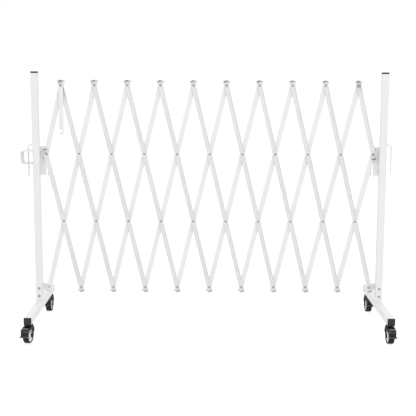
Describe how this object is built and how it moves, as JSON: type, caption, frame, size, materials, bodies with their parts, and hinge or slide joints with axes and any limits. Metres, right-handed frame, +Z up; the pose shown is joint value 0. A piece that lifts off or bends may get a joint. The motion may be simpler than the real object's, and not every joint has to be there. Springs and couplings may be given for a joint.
{
  "type": "expandable safety barrier",
  "caption": "Expandable scissor-lattice safety barrier between two upright posts on wheeled feet with locking casters.",
  "frame": {"origin": "centre of the footprint's bounding box, on the floor", "axes": "+X along the barrier from the looped post to the hook-rod post, +Y away from the brake pedals, +Z up"},
  "size_m": [1.4272, 0.5526, 0.994],
  "materials": {
    "white_paint": "satin white powder coat",
    "black_plastic": "moulded black plastic",
    "black_steel": "black coated pressed steel",
    "dark_fastener": "dark plated",
    "zinc_steel": "zinc plated",
    "wheel_rubber": "matt tread on a grey core"
  },
  "bodies": {
    "left_frame": {"post_left": "white_paint", "post_cap_left": "black_plastic", "foot_bar_left": "white_paint", "foot_cap_left_front": "black_plastic", "foot_cap_left_rear": "black_plastic", "guide_bracket_left": "white_paint", "lower_bracket_left": "white_paint", "lower_bolt_left": "dark_fastener", "loop_bracket": "white_paint", "caster_head_left_front": "black_steel", "caster_head_left_rear": "black_steel"},
    "right_frame": {"post_right": "white_paint", "post_cap_right": "black_plastic", "foot_bar_right": "white_paint", "foot_cap_right_front": "black_plastic", "foot_cap_right_rear": "black_plastic", "guide_bracket_right": "white_paint", "lower_bracket_right": "white_paint", "lower_bolt_right": "dark_fastener", "hook_rod": "white_paint", "caster_head_right_front": "black_steel", "caster_head_right_rear": "black_steel"},
    "slat_rising_1": {"slat_rising_1": "white_paint", "guide_bolt_left": "dark_fastener"},
    "slat_rising_2": {"slat_rising_2": "white_paint"},
    "slat_rising_3": {"slat_rising_3": "white_paint"},
    "slat_rising_4": {"slat_rising_4": "white_paint"},
    "slat_rising_5": {"slat_rising_5": "white_paint"},
    "slat_rising_6": {"slat_rising_6": "white_paint"},
    "slat_rising_7": {"slat_rising_7": "white_paint"},
    "slat_rising_8": {"slat_rising_8": "white_paint"},
    "slat_rising_9": {"slat_rising_9": "white_paint"},
    "slat_rising_10": {"slat_rising_10": "white_paint"},
    "slat_rising_11": {"slat_rising_11": "white_paint", "guide_bolt_right": "dark_fastener"},
    "slat_falling_1": {"slat_falling_1": "white_paint"},
    "slat_falling_2": {"slat_falling_2": "white_paint"},
    "slat_falling_3": {"slat_falling_3": "white_paint"},
    "slat_falling_4": {"slat_falling_4": "white_paint"},
    "slat_falling_5": {"slat_falling_5": "white_paint"},
    "slat_falling_6": {"slat_falling_6": "white_paint"},
    "slat_falling_7": {"slat_falling_7": "white_paint"},
    "slat_falling_8": {"slat_falling_8": "white_paint"},
    "slat_falling_9": {"slat_falling_9": "white_paint"},
    "slat_falling_10": {"slat_falling_10": "white_paint"},
    "slat_falling_11": {"slat_falling_11": "white_paint"},
    "storage_strap": {"storage_strap": "white_paint"},
    "drop_pin": {"drop_pin": "zinc_steel"},
    "fork_left_front": {"caster_fork_left_front": "black_steel"},
    "wheel_left_front": {"caster_wheel_left_front": "wheel_rubber"},
    "pedal_left_front": {"caster_pedal_left_front": "black_plastic"},
    "fork_left_rear": {"caster_fork_left_rear": "black_steel"},
    "wheel_left_rear": {"caster_wheel_left_rear": "wheel_rubber"},
    "pedal_left_rear": {"caster_pedal_left_rear": "black_plastic"},
    "fork_right_front": {"caster_fork_right_front": "black_steel"},
    "wheel_right_front": {"caster_wheel_right_front": "wheel_rubber"},
    "pedal_right_front": {"caster_pedal_right_front": "black_plastic"},
    "fork_right_rear": {"caster_fork_right_rear": "black_steel"},
    "wheel_right_rear": {"caster_wheel_right_rear": "wheel_rubber"},
    "pedal_right_rear": {"caster_pedal_right_rear": "black_plastic"}
  },
  "joints": [
    {"name": "fold", "type": "hinge", "parent": "left_frame", "child": "slat_rising_2", "pos_m": [-0.61955, 0.01532, 0.155], "axis": [0, 1, 0], "range_deg": [-11.45, 19]},
    {"name": "rivet_falling_3", "type": "hinge", "parent": "slat_rising_2", "child": "slat_falling_3", "pos_m": [-0.43046, 0.01532, 0.94262], "axis": [0, 1, 0], "range_deg": [-38.2, 23.1]},
    {"name": "rivet_rising_5", "type": "hinge", "parent": "slat_falling_3", "child": "slat_rising_5", "pos_m": [-0.24137, 0.01532, 0.155], "axis": [0, 1, 0], "range_deg": [-23.1, 38.2]},
    {"name": "rivet_falling_6", "type": "hinge", "parent": "slat_rising_5", "child": "slat_falling_6", "pos_m": [-0.05228, 0.01532, 0.94262], "axis": [0, 1, 0], "range_deg": [-38.2, 23.1]},
    {"name": "rivet_rising_8", "type": "hinge", "parent": "slat_falling_6", "child": "slat_rising_8", "pos_m": [0.13681, 0.01532, 0.155], "axis": [0, 1, 0], "range_deg": [-23.1, 38.2]},
    {"name": "rivet_falling_9", "type": "hinge", "parent": "slat_rising_8", "child": "slat_falling_9", "pos_m": [0.3259, 0.01532, 0.94262], "axis": [0, 1, 0], "range_deg": [-38.2, 23.1]},
    {"name": "rivet_rising_11", "type": "hinge", "parent": "slat_falling_9", "child": "slat_rising_11", "pos_m": [0.51499, 0.01532, 0.155], "axis": [0, 1, 0], "range_deg": [-23.1, 38.2]},
    {"name": "rivet_falling_10", "type": "hinge", "parent": "slat_rising_11", "child": "slat_falling_10", "pos_m": [0.57802, 0.01532, 0.41754], "axis": [0, 1, 0], "range_deg": [-38.2, 23.1]},
    {"name": "right_post_pivot", "type": "hinge", "parent": "slat_falling_10", "child": "right_frame", "pos_m": [0.64105, 0.01532, 0.155], "axis": [0, 1, 0], "range_deg": [-11.65, 19.2]},
    {"name": "rivet_falling_1", "type": "hinge", "parent": "slat_rising_2", "child": "slat_falling_1", "pos_m": [-0.55652, 0.01532, 0.41754], "axis": [0, 1, 0], "range_deg": [-38.2, 23.1]},
    {"name": "rivet_rising_1", "type": "hinge", "parent": "slat_falling_1", "child": "slat_rising_1", "pos_m": [-0.61955, 0.01532, 0.68008], "axis": [0, 1, 0], "range_deg": [-23.1, 38.2]},
    {"name": "rivet_falling_2", "type": "hinge", "parent": "slat_rising_2", "child": "slat_falling_2", "pos_m": [-0.49349, 0.01532, 0.68008], "axis": [0, 1, 0], "range_deg": [-38.2, 23.1]},
    {"name": "rivet_rising_3", "type": "hinge", "parent": "slat_falling_3", "child": "slat_rising_3", "pos_m": [-0.36743, 0.01532, 0.68008], "axis": [0, 1, 0], "range_deg": [-23.1, 38.2]},
    {"name": "rivet_rising_4", "type": "hinge", "parent": "slat_falling_3", "child": "slat_rising_4", "pos_m": [-0.3044, 0.01532, 0.41754], "axis": [0, 1, 0], "range_deg": [-23.1, 38.2]},
    {"name": "rivet_falling_4", "type": "hinge", "parent": "slat_rising_5", "child": "slat_falling_4", "pos_m": [-0.17834, 0.01532, 0.41754], "axis": [0, 1, 0], "range_deg": [-38.2, 23.1]},
    {"name": "rivet_falling_5", "type": "hinge", "parent": "slat_rising_5", "child": "slat_falling_5", "pos_m": [-0.11531, 0.01532, 0.68008], "axis": [0, 1, 0], "range_deg": [-38.2, 23.1]},
    {"name": "rivet_rising_6", "type": "hinge", "parent": "slat_falling_6", "child": "slat_rising_6", "pos_m": [0.01075, 0.01532, 0.68008], "axis": [0, 1, 0], "range_deg": [-23.1, 38.2]},
    {"name": "rivet_rising_7", "type": "hinge", "parent": "slat_falling_6", "child": "slat_rising_7", "pos_m": [0.07378, 0.01532, 0.41754], "axis": [0, 1, 0], "range_deg": [-23.1, 38.2]},
    {"name": "rivet_falling_7", "type": "hinge", "parent": "slat_rising_8", "child": "slat_falling_7", "pos_m": [0.19984, 0.01532, 0.41754], "axis": [0, 1, 0], "range_deg": [-38.2, 23.1]},
    {"name": "rivet_falling_8", "type": "hinge", "parent": "slat_rising_8", "child": "slat_falling_8", "pos_m": [0.26287, 0.01532, 0.68008], "axis": [0, 1, 0], "range_deg": [-38.2, 23.1]},
    {"name": "rivet_rising_9", "type": "hinge", "parent": "slat_falling_9", "child": "slat_rising_9", "pos_m": [0.38893, 0.01532, 0.68008], "axis": [0, 1, 0], "range_deg": [-23.1, 38.2]},
    {"name": "rivet_rising_10", "type": "hinge", "parent": "slat_falling_9", "child": "slat_rising_10", "pos_m": [0.45196, 0.01532, 0.41754], "axis": [0, 1, 0], "range_deg": [-23.1, 38.2]},
    {"name": "rivet_falling_11", "type": "hinge", "parent": "slat_rising_11", "child": "slat_falling_11", "pos_m": [0.64105, 0.01532, 0.68008], "axis": [0, 1, 0], "range_deg": [-38.2, 23.1]},
    {"name": "strap_swing", "type": "hinge", "parent": "slat_rising_1", "child": "storage_strap", "pos_m": [-0.55652, 0.01532, 0.94262], "axis": [0, -1, 0], "range_deg": [-5, 100]},
    {"name": "pin_lift", "type": "slide", "parent": "left_frame", "child": "drop_pin", "axis": [0, 0, 1], "range_m": [0, 0.1]},
    {"name": "swivel_left_front", "type": "hinge", "parent": "left_frame", "child": "fork_left_front", "pos_m": [-0.65755, -0.21068, 0.072], "axis": [0, 0, 1], "continuous": true},
    {"name": "wheel_spin_left_front", "type": "hinge", "parent": "fork_left_front", "child": "wheel_left_front", "pos_m": [-0.65974, -0.22451, 0.03], "axis": [0.9877, -0.1564, 0], "continuous": true},
    {"name": "brake_left_front", "type": "hinge", "parent": "fork_left_front", "child": "pedal_left_front", "pos_m": [-0.66328, -0.24683, 0.0575], "axis": [0.9877, -0.1564, 0], "range_deg": [0, 10]},
    {"name": "swivel_left_rear", "type": "hinge", "parent": "left_frame", "child": "fork_left_rear", "pos_m": [-0.65755, 0.24132, 0.072], "axis": [0, 0, 1], "continuous": true},
    {"name": "wheel_spin_left_rear", "type": "hinge", "parent": "fork_left_rear", "child": "wheel_left_rear", "pos_m": [-0.65755, 0.22732, 0.03], "axis": [1, 0, 0], "continuous": true},
    {"name": "brake_left_rear", "type": "hinge", "parent": "fork_left_rear", "child": "pedal_left_rear", "pos_m": [-0.65755, 0.20472, 0.0575], "axis": [1, 0, 0], "range_deg": [0, 10]},
    {"name": "swivel_right_front", "type": "hinge", "parent": "right_frame", "child": "fork_right_front", "pos_m": [0.67905, -0.21068, 0.072], "axis": [0, 0, 1], "continuous": true},
    {"name": "wheel_spin_right_front", "type": "hinge", "parent": "fork_right_front", "child": "wheel_right_front", "pos_m": [0.67954, -0.22467, 0.03], "axis": [0.9994, 0.0349, 0], "continuous": true},
    {"name": "brake_right_front", "type": "hinge", "parent": "fork_right_front", "child": "pedal_right_front", "pos_m": [0.68033, -0.24726, 0.0575], "axis": [0.9994, 0.0349, 0], "range_deg": [0, 10]},
    {"name": "swivel_right_rear", "type": "hinge", "parent": "right_frame", "child": "fork_right_rear", "pos_m": [0.67905, 0.24132, 0.072], "axis": [0, 0, 1], "continuous": true},
    {"name": "wheel_spin_right_rear", "type": "hinge", "parent": "fork_right_rear", "child": "wheel_right_rear", "pos_m": [0.67905, 0.22732, 0.03], "axis": [1, 0, 0], "continuous": true},
    {"name": "brake_right_rear", "type": "hinge", "parent": "fork_right_rear", "child": "pedal_right_rear", "pos_m": [0.67905, 0.20472, 0.0575], "axis": [1, 0, 0], "range_deg": [0, 10]}
  ],
  "couplings": [
    {"joint": "rivet_falling_3", "follows": "fold", "ratio": -2},
    {"joint": "rivet_rising_5", "follows": "fold", "ratio": 2},
    {"joint": "rivet_falling_6", "follows": "fold", "ratio": -2},
    {"joint": "rivet_rising_8", "follows": "fold", "ratio": 2},
    {"joint": "rivet_falling_9", "follows": "fold", "ratio": -2},
    {"joint": "rivet_rising_11", "follows": "fold", "ratio": 2},
    {"joint": "rivet_falling_10", "follows": "fold", "ratio": -2},
    {"joint": "right_post_pivot", "follows": "fold", "ratio": 1},
    {"joint": "rivet_falling_1", "follows": "fold", "ratio": -2},
    {"joint": "rivet_rising_1", "follows": "fold", "ratio": 2},
    {"joint": "rivet_falling_2", "follows": "fold", "ratio": -2},
    {"joint": "rivet_rising_3", "follows": "fold", "ratio": 2},
    {"joint": "rivet_rising_4", "follows": "fold", "ratio": 2},
    {"joint": "rivet_falling_4", "follows": "fold", "ratio": -2},
    {"joint": "rivet_falling_5", "follows": "fold", "ratio": -2},
    {"joint": "rivet_rising_6", "follows": "fold", "ratio": 2},
    {"joint": "rivet_rising_7", "follows": "fold", "ratio": 2},
    {"joint": "rivet_falling_7", "follows": "fold", "ratio": -2},
    {"joint": "rivet_falling_8", "follows": "fold", "ratio": -2},
    {"joint": "rivet_rising_9", "follows": "fold", "ratio": 2},
    {"joint": "rivet_rising_10", "follows": "fold", "ratio": 2},
    {"joint": "rivet_falling_11", "follows": "fold", "ratio": -2}
  ]
}
